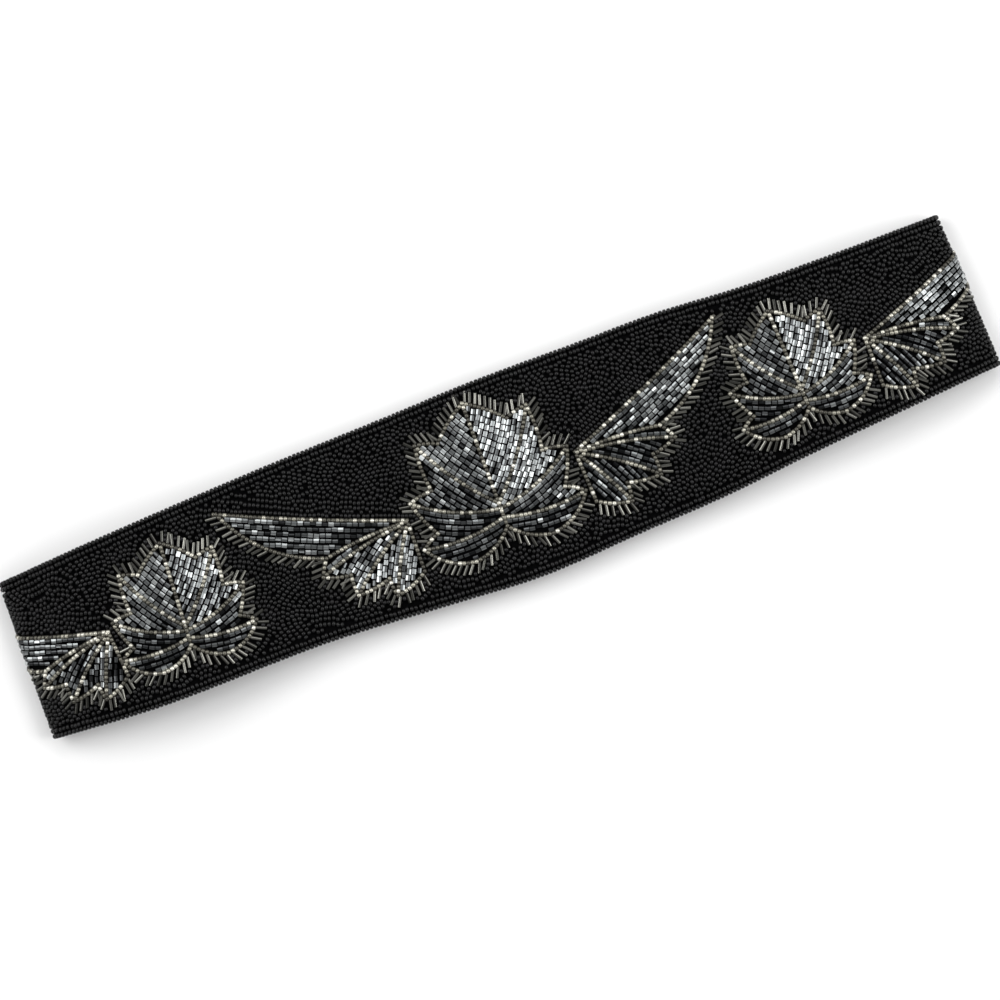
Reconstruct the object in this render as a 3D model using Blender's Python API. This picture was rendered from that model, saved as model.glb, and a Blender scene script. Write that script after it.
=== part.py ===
"""Beaded cummerbund, fastened at the back and lying on a table, front upwards.

The band is cut flat and then bent round a flattened loop. A point of the band is given by three
lengths in millimetres: along, from the centre front and + towards the right; across, + towards the
upper edge; and depth, from the bead tops into the wall. The loop lies in X and Z, and its width in Y.
"""

from collections import namedtuple
import math

import bmesh
import bpy
from mathutils import Vector
from mathutils.geometry import delaunay_2d_cdt
import numpy as np

MM = 0.001  # metres in a millimetre

# Walls and gaps, in millimetres
BEADED_WALL = 2.8  # backed cloth of 1.1 under seed beads of 1.7
PLAIN_WALL = 1.6  # folded cloth with its stiffening
TAPE_WALL = 0.8
SEAM_GAP = 0.3

# The back, seen from the table's side, in millimetres
SEAM_X = 128.0  # the side-back seams lie this far from the middle
OVERLAP = 40.0  # of the two plain bands at the centre back
RISE_START = 50.0  # where the band on top leaves the table
RISE_END = 25.0  # and where it has reached the overlap's height
RISE_STATIONS = 7  # between the two
BAND_WIDTH_AT_SEAM = 60.0
BAND_WIDTH_AT_END = 56.0
TAPE_LENGTH = 28.0
TAPE_WIDTH = 44.0

# Leaves, in millimetres
LEAF_RISE = 0.5  # cut beads stand this much above the seed beads of the ground
LEAF_SLOPE = 0.9  # width of the slope round each leaf
VEIN_RISE = 0.3  # lines of beads that stand a little above the rest of the leaf
VEIN_HALF_WIDTH = 0.9
VEIN_STARTS = 0.22  # share of a lobe's distance from the root
VEIN_ENDS = 0.92
OUTLINE_STEP = 4.5  # longest straight piece of a leaf's outline
STRAIGHT_BELOW = 0.2  # an edge that bows less than this is one straight piece
LONGEST_MITRE = 3.5  # a corner moves inwards by at most this many times the slope's width
RELIEF_FADES_BELOW = 4.0  # height under which relief sinks away, so the band rests flat
CUP = 1.3  # the front's middle line stands this much above its two edges
CUP_RUN = 45.0  # length over which the cup grows from each fold
HALF_CUP = 36.0  # the cup ends this far from the middle line
SPLAY = 0.03  # each fold leans outwards by this much a millimetre below the middle line
SPLAY_RUN = (140.0, 185.0)  # the lean grows between these distances from the centre front
GROUND_ROWS = 4  # the ground is cut into this many rows from edge to edge
MERGE = 0.03  # points of the pattern closer than this are one point
SHARP_ANGLE = 35.0  # degrees between two faces that meet in a visible edge

# The outer face of the beaded band from seam to seam: where it is, which way it runs in degrees
# (0 to the right, 90 upwards) and how many stations lie between it and the section before.
LoopSection = namedtuple("LoopSection", "place x z heading stations")
LOOP = (
    LoopSection("left seam", -SEAM_X, 0.0, 180, 0),
    LoopSection("left curl", -182.6, 0.0, 180, 3),
    LoopSection("left fold", -189.1, 5.8, 90, 5),
    LoopSection("left shoulder", -180.6, 12.4, 24, 5),
    LoopSection("left crown", -142.0, 19.0, 0, 5),
    LoopSection("left slope", -92.0, 12.6, -8, 6),
    LoopSection("left landing", -40.0, 9.4, -1, 6),
    LoopSection("right landing", 44.0, 9.4, 1, 8),
    LoopSection("right slope", 98.0, 11.8, 4, 6),
    LoopSection("right crown", 146.0, 15.0, 0, 5),
    LoopSection("right shoulder", 181.6, 10.8, -22, 4),
    LoopSection("right fold", 189.1, 5.2, -90, 5),
    LoopSection("right curl", 183.1, 0.0, -180, 5),
    LoopSection("right seam", SEAM_X, 0.0, -180, 3),
)

# The contoured cut: distance of the upper and lower edge from the band's middle line.
Contour = namedtuple("Contour", "along upper lower")
CONTOUR = (
    Contour(-262.0, 30.4, 30.4),
    Contour(-192.0, 30.8, 31.2),
    Contour(-150.0, 32.6, 34.2),
    Contour(-76.0, 35.3, 35.2),
    Contour(-30.0, 36.0, 38.8),
    Contour(0.0, 36.7, 41.0),
    Contour(45.0, 35.9, 39.3),
    Contour(75.0, 35.5, 38.2),
    Contour(110.0, 32.8, 35.2),
    Contour(150.0, 31.6, 32.4),
    Contour(192.0, 31.2, 29.8),
    Contour(262.0, 30.4, 30.4),
)

WIDEST = max(CONTOUR, key=lambda row: row.upper + row.lower)
MIDDLE_Y = (WIDEST.lower - WIDEST.upper) / 2  # so that the widest part is centred on the origin

# Two edging rows of beads along each long edge, from the ground out to the edge and to the inside.
EdgeRow = namedtuple("EdgeRow", "place inset depth is_relief")
EDGE_ROWS = (
    EdgeRow("ground", 5.2, 0.0, True),
    EdgeRow("inner groove", 4.7, 0.5, True),
    EdgeRow("inner row, inner side", 4.0, 0.05, True),
    EdgeRow("inner row, outer side", 3.1, 0.05, True),
    EdgeRow("outer groove", 2.5, 0.6, True),
    EdgeRow("outer row, top", 1.7, 0.0, True),
    EdgeRow("outer row, side", 0.5, 0.4, False),
    EdgeRow("edge", 0.0, 1.5, False),
    EdgeRow("inside", 0.6, BEADED_WALL, False),
)
PLAIN_EDGE_ROWS = (
    EdgeRow("face", 0.5, 0.0, False),
    EdgeRow("edge", 0.0, 0.45, False),
    EdgeRow("edge, inner side", 0.0, PLAIN_WALL - 0.45, False),
    EdgeRow("inside", 0.5, PLAIN_WALL, False),
)

# Points of a leaf round its root: direction in degrees, distance from the root in millimetres,
# how far the edge that leads to this point bows outwards, and how far the vein from the root to
# this point bows, if there is one.
LeafPoint = namedtuple("LeafPoint", "place angle reach bow vein")
HALF_FRONT_LEAF = (  # angles from the tip's direction, mirrored for the other half
    LeafPoint("tip", 0, 48.5, 0.0, 0.0),
    LeafPoint("first notch", 20, 40.0, 0.7, None),
    LeafPoint("upper lobe", 29, 45.5, 0.4, -1.6),
    LeafPoint("second notch", 45, 31.0, 0.7, None),
    LeafPoint("middle lobe", 57, 37.0, 0.5, -2.4),
    LeafPoint("third notch", 76, 26.0, 0.5, None),
    LeafPoint("lower lobe", 86, 32.0, 0.4, -2.0),
    LeafPoint("underside", 119, 17.5, 2.4, None),
    LeafPoint("root", 180, 0.0, 1.8, None),
)
SIDE_LEAF = (  # angles from the direction away from the root, level with the band
    LeafPoint("root", 0, 0.0, 0.0, None),
    LeafPoint("tip", 23, 71.0, -0.8, None),
    LeafPoint("first notch", -4, 33.0, 5.0, None),
    LeafPoint("first lobe", -13, 37.5, 0.3, 1.2),
    LeafPoint("second notch", -23, 29.0, 0.5, None),
    LeafPoint("second lobe", -36, 33.0, 0.3, 1.0),
    LeafPoint("third notch", -52, 22.5, 0.6, None),
    LeafPoint("third lobe", -62, 28.0, 0.3, 0.6),
    LeafPoint("heel", -88, 20.0, 0.9, None),
)

# Where each leaf's root is (x on the top of the loop), its lean in degrees and its size.
LeafPlace = namedtuple("LeafPlace", "name form x across lean scale side")
LEAVES = (
    LeafPlace("centre leaf", "front", -3.5, -18.5, 1.0, 1.0, 1),
    LeafPlace("left leaf", "front", -128.3, -16.8, 4.0, 0.81, 1),
    LeafPlace("right leaf", "front", 116.7, -18.3, -2.0, 0.80, 1),
    LeafPlace("centre left side leaf", "side", -37.5, -3.0, 0.0, 1.0, -1),
    LeafPlace("centre right side leaf", "side", 30.0, -2.0, 0.0, 1.0, 1),
    LeafPlace("outer left side leaf", "side", -155.0, -1.2, 6.0, 0.88, -1),
    LeafPlace("outer right side leaf", "side", 145.0, -2.0, 2.0, 0.93, 1),
)

# Colours as linear red, green, blue; roughness; metallic
Finish = namedtuple("Finish", "name colour roughness metallic")
BLACK_BEADWORK = Finish("black beadwork", (0.012, 0.012, 0.013), 0.35, 0.0)
BLACK_SATEEN = Finish("black sateen", (0.010, 0.010, 0.012), 0.75, 0.0)
BLACK_TAPE = Finish("black hook and loop tape", (0.016, 0.016, 0.016), 0.9, 0.0)


def sin(degrees):
    return math.sin(math.radians(degrees))


def cos(degrees):
    return math.cos(math.radians(degrees))


def smooth(share):
    share = np.clip(share, 0, 1)
    return share * share * (3 - 2 * share)


def clear_scene():
    for item in list(bpy.data.objects):
        bpy.data.objects.remove(item, do_unlink=True)


def smooth_through(places, values, wanted):
    """Cubic through a table's values, level with the neighbours' slope at each place."""
    places, values = np.array(places, float), np.array(values, float)
    slopes = np.gradient(values, places)
    row = np.clip(np.searchsorted(places, wanted) - 1, 0, len(places) - 2)
    span = places[row + 1] - places[row]
    t = np.clip((wanted - places[row]) / span, 0, 1)
    rise = values[row + 1] - values[row]
    start, end = slopes[row] * span, slopes[row + 1] * span
    return values[row] + t * start + t * t * (3 * rise - 2 * start - end) + t**3 * (start + end - 2 * rise)


class Loop:
    """A smooth curve in X and Z through sections, read by the length along it."""

    SAMPLES = 60  # on the curve between two sections

    def __init__(self, sections):
        t = np.arange(self.SAMPLES + 1)[:, None] / self.SAMPLES
        points, headings, ends = [], [], [0]
        for a, b in zip(sections, sections[1:]):
            start, end = np.array([a.x, a.z]), np.array([b.x, b.z])
            turn = math.radians(b.heading - a.heading)
            reach = np.linalg.norm(end - start) / math.cos(turn / 4) ** 2
            out = reach * np.array([cos(a.heading), sin(a.heading)])
            into = reach * np.array([cos(b.heading), sin(b.heading)])
            rise = end - start
            curve = start + t * out + t**2 * (3 * rise - 2 * out - into) + t**3 * (out + into - 2 * rise)
            along = out + 2 * t * (3 * rise - 2 * out - into) + 3 * t**2 * (out + into - 2 * rise)
            keep = slice(None) if b is sections[-1] else slice(-1)
            points.append(curve[keep])
            headings.append(along[keep] / np.linalg.norm(along[keep], axis=1)[:, None])
            ends.append(ends[-1] + self.SAMPLES)
        self.points, self.headings = np.concatenate(points), np.concatenate(headings)
        steps = np.linalg.norm(np.diff(self.points, axis=0), axis=1)
        self.along = np.concatenate([[0.0], np.cumsum(steps)])
        self.section_along = self.along[ends]

    def centre(self, top):
        """Counts lengths from x = 0 on the stretch between two sections of the top."""
        middle = self.along_at(0.0, top)
        self.along = self.along - middle
        self.section_along = self.section_along - middle

    def along_at(self, x, top):
        held = slice(top[0] * self.SAMPLES, top[1] * self.SAMPLES + 1)
        return float(np.interp(x, self.points[held, 0], self.along[held]))

    def stations(self, sections):
        """Lengths at which the band is cut into straight steps, as many as each section says."""
        found = [self.section_along[:1]]
        for i, section in enumerate(sections[1:]):
            found.append(np.linspace(*self.section_along[i : i + 2], section.stations + 1)[1:])
        return np.concatenate(found)

    def outer_height(self, along):
        return np.interp(along, self.along, self.points[:, 1])

    def place(self, along, across, depth):
        """World points, in metres, of points of the band."""
        x, z = (np.interp(along, self.along, self.points[:, i]) for i in (0, 1))
        run, climb = (np.interp(along, self.along, self.headings[:, i]) for i in (0, 1))
        length = np.hypot(run, climb)
        begins, ends = SPLAY_RUN
        lean = SPLAY * np.sign(x) * smooth((np.abs(x) - begins) / (ends - begins))
        out = x + depth * climb / length - lean * across, across + MIDDLE_Y, z - depth * run / length
        return MM * np.stack(out, 1)


def bowed(start, end, bow):
    """Points from start to just before end, on an arc that bows to the left of its direction."""
    start, end = np.array(start), np.array(end)
    span = np.linalg.norm(end - start)
    steps = math.ceil(span / OUTLINE_STEP) if abs(bow) > STRAIGHT_BELOW else 1
    t = np.arange(steps)[:, None] / steps
    side = np.array([start[1] - end[1], end[0] - start[0]]) / span
    return start + t * (end - start) + 4 * bow * t * (1 - t) * side


def front_leaf():
    """Corners of the lobed leaf, tip upwards, clockwise, root at the origin, and their rows."""
    rows = HALF_FRONT_LEAF + HALF_FRONT_LEAF[-2:0:-1]
    sides = [1] * len(HALF_FRONT_LEAF) + [-1] * (len(HALF_FRONT_LEAF) - 2)
    corners = [(side * p.reach * sin(p.angle), p.reach * cos(p.angle)) for p, side in zip(rows, sides)]
    # On the mirrored half an edge is led to by the row that follows it on the first half.
    bows = [p.bow for p in HALF_FRONT_LEAF] + [p.bow for p in HALF_FRONT_LEAF[-1:0:-1]]
    bows[0] = bows.pop()
    veins = [None if p.vein is None else side * p.vein for p, side in zip(rows, sides)]
    return corners, bows, veins


def side_leaf():
    """Corners of the split side-view leaf, pointing to the right, clockwise, root at the origin."""
    corners = [(p.reach * cos(p.angle), p.reach * sin(p.angle)) for p in SIDE_LEAF]
    return corners, [p.bow for p in SIDE_LEAF], [p.vein for p in SIDE_LEAF]


def leaf_lines(leaf, along):
    """A leaf on the flat band: its clockwise outline, and its veins from root to lobe."""
    corners, bows, veins = front_leaf() if leaf.form == "front" else side_leaf()
    outline = np.concatenate([bowed(corners[i - 1], corners[i], bow) for i, bow in enumerate(bows)])
    lines = []
    for corner, vein in zip(corners, veins):
        if vein is not None:
            start, end = (np.array(corner) * share for share in (VEIN_STARTS, VEIN_ENDS))
            lines.append(np.concatenate([bowed(start, end, vein), [end]]))

    turn = np.array([[cos(leaf.lean), -sin(leaf.lean)], [sin(leaf.lean), cos(leaf.lean)]])

    def placed(points):
        return leaf.scale * (points @ turn) * (leaf.side, 1) + (along, leaf.across)

    outline = outline if leaf.side > 0 else outline[::-1]
    return placed(outline), [placed(line) for line in lines]


def vein_sides(line):
    """Closed outline of a vein's raised strip, pointed at both ends."""
    run = np.gradient(line, axis=0)
    run *= VEIN_HALF_WIDTH / np.linalg.norm(run, axis=1)[:, None]
    side = np.stack([-run[:, 1], run[:, 0]], 1)
    return np.concatenate([[line[0] - run[0]], line + side, [line[-1] + run[-1]], (line - side)[::-1]])


def inset(outline, distance):
    """A clockwise outline moved inwards, with long points cut short."""
    edges = np.roll(outline, -1, axis=0) - outline
    edges /= np.linalg.norm(edges, axis=1)[:, None]
    inwards = np.stack([edges[:, 1], -edges[:, 0]], 1)
    before = np.roll(inwards, 1, axis=0)
    grow = np.minimum(2 / np.maximum(((inwards + before) ** 2).sum(1), 1e-9), LONGEST_MITRE / 2)
    return outline + distance * grow[:, None] * (inwards + before)


def distance_to(points, starts, ends):
    """Distance of each point from the nearest of some straight lines."""
    line = ends - starts
    to_point = points[:, None] - starts
    t = np.clip((to_point * line).sum(2) / (line**2).sum(1), 0, 1)
    return np.linalg.norm(to_point - t[..., None] * line, axis=2).min(1)


def depth_inside(points, outline):
    """Distance of each point from an outline it lies in, or 0 outside."""
    a, b = outline, np.roll(outline, -1, axis=0)
    line = b - a
    crosses = (a[:, 1] > points[:, None, 1]) != (b[:, 1] > points[:, None, 1])
    climb = np.where(line[:, 1] == 0, 1.0, line[:, 1])
    x_there = a[:, 0] + (points[:, None, 1] - a[:, 1]) * line[:, 0] / climb
    inside = (crosses & (points[:, None, 0] < x_there)).sum(1) % 2 == 1
    return np.where(inside, distance_to(points, a, b), 0.0)


def ground_patch(stations, upper, lower, outlines, lines):
    """The face between the edging rows as triangles that keep to the stations and the leaves.

    Gives its points (along, across), its triangles, and the number of each point of the grid of
    rows and stations."""
    share = np.arange(GROUND_ROWS + 1)[:, None] / GROUND_ROWS
    across = upper + share * (lower - upper)
    points = np.stack([np.broadcast_to(stations, across.shape), across], 2).reshape(-1, 2)
    number = np.arange(len(points)).reshape(across.shape)
    edges = [
        np.stack([number[:, :-1].ravel(), number[:, 1:].ravel()], 1),
        np.stack([number[:-1].ravel(), number[1:].ravel()], 1),
    ]
    for line, closed in [(o, True) for o in outlines] + [(o, False) for o in lines]:
        ring = np.arange(len(line)) + len(points)
        points = np.concatenate([points, line])
        edges.append(np.stack([ring, np.roll(ring, -1)], 1)[: None if closed else -1])
    flat = [Vector(p) for p in points.tolist()]
    inside_borders = 1
    found = delaunay_2d_cdt(flat, np.concatenate(edges).tolist(), [], inside_borders, MERGE)
    where = {old: new for new, olds in enumerate(found[3]) for old in olds}
    grid = np.array([[where[i] for i in row] for row in number.tolist()])
    return np.array([p[:] for p in found[0]]), [tuple(f) for f in found[2]], grid


def add_piece(name, points, faces, finish):
    """One closed piece from world points and faces, turned outwards."""
    mesh = bpy.data.meshes.new(name)
    mesh.from_pydata(np.asarray(points).tolist(), [], faces)
    shape = bmesh.new()
    shape.from_mesh(mesh)
    bmesh.ops.recalc_face_normals(shape, faces=shape.faces)
    shape.to_mesh(mesh)
    shape.free()
    mesh.shade_smooth()
    mesh.set_sharp_from_angle(angle=math.radians(SHARP_ANGLE))
    piece = bpy.data.objects.new(name, mesh)
    bpy.context.scene.collection.objects.link(piece)
    mesh.materials.append(finish_material(finish))
    return piece


def finish_material(finish):
    material = bpy.data.materials.get(finish.name) or bpy.data.materials.new(finish.name)
    material.use_nodes = True
    shader = material.node_tree.nodes["Principled BSDF"]
    shader.inputs["Base Color"].default_value = (*finish.colour, 1)
    shader.inputs["Roughness"].default_value = finish.roughness
    shader.inputs["Metallic"].default_value = finish.metallic
    return material


def ring_strips(rings):
    """Faces between neighbouring rings of point numbers, left open between their ends."""
    faces = []
    for ring, after in zip(rings, rings[1:]):
        for i in range(len(ring) - 1):
            faces.append((ring[i], ring[i + 1], after[i + 1], after[i]))
    return faces


def front_panel(loop, top):
    stations = loop.stations(LOOP)
    table = [c.along for c in CONTOUR]
    upper = smooth_through(table, [c.upper for c in CONTOUR], stations)
    lower = -smooth_through(table, [c.lower for c in CONTOUR], stations)
    leaves = [leaf_lines(leaf, loop.along_at(leaf.x, top)) for leaf in LEAVES]
    outlines = [outline for outline, _ in leaves]
    veins = [vein for _, found in leaves for vein in found]
    closed = outlines + [inset(outline, LEAF_SLOPE) for outline in outlines]
    closed += [vein_sides(vein) for vein in veins]
    ground = EDGE_ROWS[0].inset
    flat, triangles, grid = ground_patch(stations, upper - ground, lower + ground, closed, veins)

    inside = sum(depth_inside(flat, outline) for outline in outlines)
    from_vein = distance_to(
        flat, np.concatenate([v[:-1] for v in veins]), np.concatenate([v[1:] for v in veins])
    )
    rise = LEAF_RISE * np.clip(inside / LEAF_SLOPE, 0, 1)
    rise += VEIN_RISE * np.clip(1 - from_vein / VEIN_HALF_WIDTH, 0, 1)
    rise *= relief_left(loop, flat[:, 0])

    ends = loop.section_along[list(top)]

    def placed(along, across, depth):
        """World points of the cupped band."""
        grown = smooth(np.minimum(along - ends[0], ends[1] - along) / CUP_RUN)
        cup = CUP * grown * np.clip(1 - (across / HALF_CUP) ** 2, 0, 1)
        return loop.place(along, across, depth - cup)

    points = [placed(flat[:, 0], flat[:, 1], -rise)]
    rows = EDGE_ROWS[1:]
    relief = relief_left(loop, stations)
    columns = [grid[0]]

    def add_column(across, depth):
        columns.append(np.arange(len(stations)) + sum(len(p) for p in points))
        points.append(placed(stations, across, depth))

    for row in rows:
        add_column(upper - row.inset, row.depth * relief if row.is_relief else row.depth)
    for share in np.arange(1, GROUND_ROWS) / GROUND_ROWS:
        add_column(upper + share * (lower - upper), BEADED_WALL)
    for row in rows[::-1]:
        add_column(lower + row.inset, row.depth * relief if row.is_relief else row.depth)
    columns.append(grid[-1])
    rings = np.array(columns).T.tolist()
    seam_ends = [tuple(rings[i] + grid[-2:0:-1, i].tolist()) for i in (0, -1)]
    faces = triangles + ring_strips(rings) + seam_ends
    return add_piece("front_panel", np.concatenate(points), faces, BLACK_BEADWORK)


def relief_left(loop, along):
    return np.clip(loop.outer_height(along) / RELIEF_FADES_BELOW, 0, 1)


def plain_band(name, xs, underside):
    """A folded cloth band with round edges, as wide as its distance from its free end gives."""
    xs, underside = np.array(xs, float), np.array(underside, float)
    free_end = xs[-1]
    taper = (xs - free_end) / (xs[0] - free_end)
    half = (BAND_WIDTH_AT_END + taper * (BAND_WIDTH_AT_SEAM - BAND_WIDTH_AT_END)) / 2
    columns = []
    for side, order in ((1, PLAIN_EDGE_ROWS), (-1, PLAIN_EDGE_ROWS[::-1])):
        for row in order:
            across = side * (half - row.inset)
            columns.append(MM * np.stack([xs, across + MIDDLE_Y, underside + row.depth], 1))
    count = len(xs)
    ring = [[c * count + i for c in [*range(len(columns)), 0]] for i in range(count)]
    faces = ring_strips(ring) + [tuple(ring[0][:-1]), tuple(ring[-1][:-1])]
    return add_piece(name, np.concatenate(columns), faces, BLACK_SATEEN)


def tape(name, underside):
    """A closing tape's flat strip."""
    corners = ((-1, -1), (1, -1), (1, 1), (-1, 1))
    points = []
    for height in (underside, underside + TAPE_WALL):
        points += [(i * TAPE_LENGTH / 2, MIDDLE_Y + j * TAPE_WIDTH / 2, height) for i, j in corners]
    sides = [(i, (i + 1) % 4, (i + 1) % 4 + 4, i + 4) for i in range(4)]
    return add_piece(name, MM * np.array(points), [(0, 1, 2, 3), (4, 5, 6, 7), *sides], BLACK_TAPE)


def back(overlap_height):
    seam = SEAM_X - SEAM_GAP
    plain_band("back_under", [-seam, OVERLAP / 2], [0, 0])
    rise = np.linspace(0, 1, RISE_STATIONS)
    rise_x = RISE_START + rise * (RISE_END - RISE_START)
    rise_z = overlap_height * smooth(rise)
    plain_band("back_over", [seam, *rise_x, -OVERLAP / 2], [0, *rise_z, overlap_height])


def build():
    clear_scene()
    loop = Loop(LOOP)
    names = [section.place for section in LOOP]
    top = names.index("left shoulder"), names.index("right shoulder")
    loop.centre(top)
    front_panel(loop, top)
    hook = PLAIN_WALL + SEAM_GAP
    hook_and_loop = hook + TAPE_WALL + SEAM_GAP
    tape("hook_tape", hook)
    tape("loop_tape", hook_and_loop)
    back(hook_and_loop + TAPE_WALL + SEAM_GAP)


build()
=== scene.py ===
import math
from collections import deque
from functools import partialmethod
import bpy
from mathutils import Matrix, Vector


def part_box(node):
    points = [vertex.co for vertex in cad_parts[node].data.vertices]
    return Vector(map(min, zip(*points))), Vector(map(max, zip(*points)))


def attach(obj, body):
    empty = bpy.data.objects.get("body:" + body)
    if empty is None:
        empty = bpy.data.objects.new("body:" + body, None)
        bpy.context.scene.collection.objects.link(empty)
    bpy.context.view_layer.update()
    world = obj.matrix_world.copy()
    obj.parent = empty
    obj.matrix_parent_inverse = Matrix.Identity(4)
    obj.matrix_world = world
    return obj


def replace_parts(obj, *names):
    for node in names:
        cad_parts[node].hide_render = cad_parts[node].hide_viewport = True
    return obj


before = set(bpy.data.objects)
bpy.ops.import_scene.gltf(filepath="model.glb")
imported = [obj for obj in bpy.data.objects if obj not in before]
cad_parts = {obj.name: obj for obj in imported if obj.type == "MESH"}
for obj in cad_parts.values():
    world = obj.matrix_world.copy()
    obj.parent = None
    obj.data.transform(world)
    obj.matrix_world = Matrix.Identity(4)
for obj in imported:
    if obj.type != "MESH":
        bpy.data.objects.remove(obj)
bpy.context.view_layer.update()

from types import SimpleNamespace

import bpy
from mathutils import Matrix
from mathutils.kdtree import KDTree
import numpy as np

mm = 0.001  # every length below is in millimetres, and becomes metres when a mesh is made


def lengths(vectors):
    return np.linalg.norm(vectors, axis=-1)


def unit(vectors):
    return vectors / lengths(vectors)[..., None]


def runOf(line):
    # How far along the line each of its points is.
    return np.concatenate([[0.0], np.cumsum(lengths(np.diff(line, axis=0)))])


def addObject(name, data):
    added = bpy.data.objects.new(name, data)
    bpy.context.scene.collection.objects.link(added)
    return added


# Materials: sockets are added and multiplied as Python expressions

class Wire:
    def __init__(self, look, socket):
        self.look, self.socket = look, socket

    def maths(self, operation, other=0.0):
        return self.look.out("ShaderNodeMath", {"operation": operation}, {0: self, 1: other})

    __add__ = partialmethod(maths, "ADD")
    __sub__ = partialmethod(maths, "SUBTRACT")
    __mul__ = partialmethod(maths, "MULTIPLY")
    __pow__ = partialmethod(maths, "POWER")


class Look:
    def __init__(self, name, **values):
        self.material = bpy.data.materials.new(name)
        self.material.use_nodes = True
        self.tree = self.material.node_tree
        self.shader = self.tree.nodes["Principled BSDF"]
        self.set(self.shader, values)

    def set(self, node, values):
        for key, value in values.items():
            if isinstance(value, Wire):
                self.tree.links.new(value.socket, node.inputs[key])
            elif isinstance(value, tuple) and len(value) == 3 and node.inputs[key].type == "RGBA":
                node.inputs[key].default_value = (*value, 1)
            else:
                node.inputs[key].default_value = value

    def node(self, kind, settings=None, values=None):
        node = self.tree.nodes.new(kind)
        for key, value in (settings or {}).items():
            if key == "stops":  # a ramp's (position, colour) pairs
                ramp = node.color_ramp.elements
                while len(ramp) < len(value):
                    ramp.new(0.5)
                for stop, (position, colour) in zip(ramp, value):
                    stop.position, stop.color = position, (*colour, 1)
            else:
                setattr(node, key, value)
        self.set(node, values or {})
        return node

    def out(self, kind, settings=None, values=None, name=0):
        return Wire(self, self.node(kind, settings, values).outputs[name])

    def parts(self, vector):
        split = self.node("ShaderNodeSeparateXYZ", None, {0: vector})
        return [Wire(self, output) for output in split.outputs]

    def mix(self, factor, first, second):
        return self.out("ShaderNodeMix", {"data_type": "RGBA"}, {0: factor, 6: first, 7: second}, 2)

    def ramp(self, factor, stops):
        return self.out("ShaderNodeValToRGB", {"stops": stops}, {0: factor})

    def noise(self, vector, scale, detail=2.0):
        return self.out("ShaderNodeTexNoise", None, {"Vector": vector, "Scale": scale, "Detail": detail})

    def bump(self, height, strength, distance):
        values = {"Height": height, "Strength": strength, "Distance": distance}
        self.set(self.shader, {"Normal": self.out("ShaderNodeBump", None, values)})


def beadLook(name, stops, ends, **values):
    # The map holds a bead's shade across and the place along the bead up: colour = ramp(shade),
    # darkened by `ends` towards both ends of the bead, a painted shade where it meets its neighbours.
    look = Look(name, **values)
    shade, along, _ = look.parts(look.out("ShaderNodeUVMap", {"uv_map": "OFBake"}))
    paintedEndShade = (along * 2 - 1) ** 2
    look.set(look.shader, {"Base Color": look.mix(paintedEndShade * ends, look.ramp(shade, stops), (0.004,) * 3)})
    return look.material


def clothLook(name, colour, thread, bump, shine):
    # Sateen weave: floats along the cloth, each thread seen as a ridge that dips where it is bound.
    look = Look(name, **{"Roughness": 0.8 - shine, "Specular IOR Level": shine})
    x, y, _ = look.parts(look.out("ShaderNodeUVMap", {"uv_map": "clothPlan"}))
    turn = 2 * math.pi / thread
    across, bound = ((way * turn).maths("SINE") for way in (y, x * 0.31 + y * 0.62))
    place = look.out("ShaderNodeTexCoord", name="Object")
    cloudy = look.noise(place, 60.0)
    height = across * 0.5 + bound * 0.3 + look.noise(place, 900.0) * 0.5
    # The colour is cloudy at random, and paler on the weave's ridges and darker in its dips: painted light
    # and shade over the weave
    dark, pale = (tuple(c * share for c in colour) for share in (0.7, 1.35))
    look.set(look.shader, {"Base Color": look.mix(cloudy * 0.7 + (across + bound) * 0.12, dark, pale)})
    look.bump(height, 0.6, bump)
    return look.material


def tapeLook(name, colour, cell, hooked):
    # Hook or loop pile: cells of a Voronoi pattern stand as stubs, or noise as a felt; the colour is paler
    # where the pile stands higher, painted light on the pile.
    look = Look(name, **{"Roughness": 0.85})
    place = look.out("ShaderNodeTexCoord", name="Object")
    if hooked:
        pile = look.out("ShaderNodeTexVoronoi", None, {"Vector": place, "Scale": 1 / cell})
    else:
        pile = look.noise(place, 1 / cell, 4.0)
    look.set(look.shader, {"Base Color": look.mix(pile, colour, tuple(c * 2.6 for c in colour))})
    look.bump(pile, 0.8, 0.0004)
    return look.material


# Meshes

def addPiece(name, points, quads, material, plans, caps=(), sharp=180):
    # Points in millimetres; caps are the faces with more corners; the faces are turned outwards by
    # the sign of the volume that the quads go round. Plans are the maps, a place for each point.
    a, b, c, d = (points[quads[:, i]] for i in range(4))
    volume = (np.cross(b - a, c - a) * (a + b + c)).sum() + (np.cross(c - a, d - a) * (a + c + d)).sum()
    if volume < 0:
        quads, caps = quads[:, ::-1], [cap[::-1] for cap in caps]
    corners = np.concatenate([quads.ravel(), *caps]).astype(np.int32)
    starts = np.cumsum([0] + [4] * len(quads) + [len(cap) for cap in caps])[:-1].astype(np.int32)
    mesh = bpy.data.meshes.new(name)
    mesh.vertices.add(len(points))
    mesh.vertices.foreach_set("co", (points * mm).astype(np.float32).ravel())
    mesh.loops.add(len(corners))
    mesh.loops.foreach_set("vertex_index", corners)
    mesh.polygons.add(len(starts))
    mesh.polygons.foreach_set("loop_start", starts)
    for title, plan in plans.items():
        layer = mesh.uv_layers.new(name=title)
        layer.uv.foreach_set("vector", plan[corners].astype(np.float32).ravel())
    mesh.update(calc_edges=True)
    mesh.shade_smooth()
    if sharp < 180:  # degrees
        mesh.set_sharp_from_angle(angle=math.radians(sharp))
    piece = addObject(name, mesh)
    mesh.materials.append(material)
    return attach(piece, "root")


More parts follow.
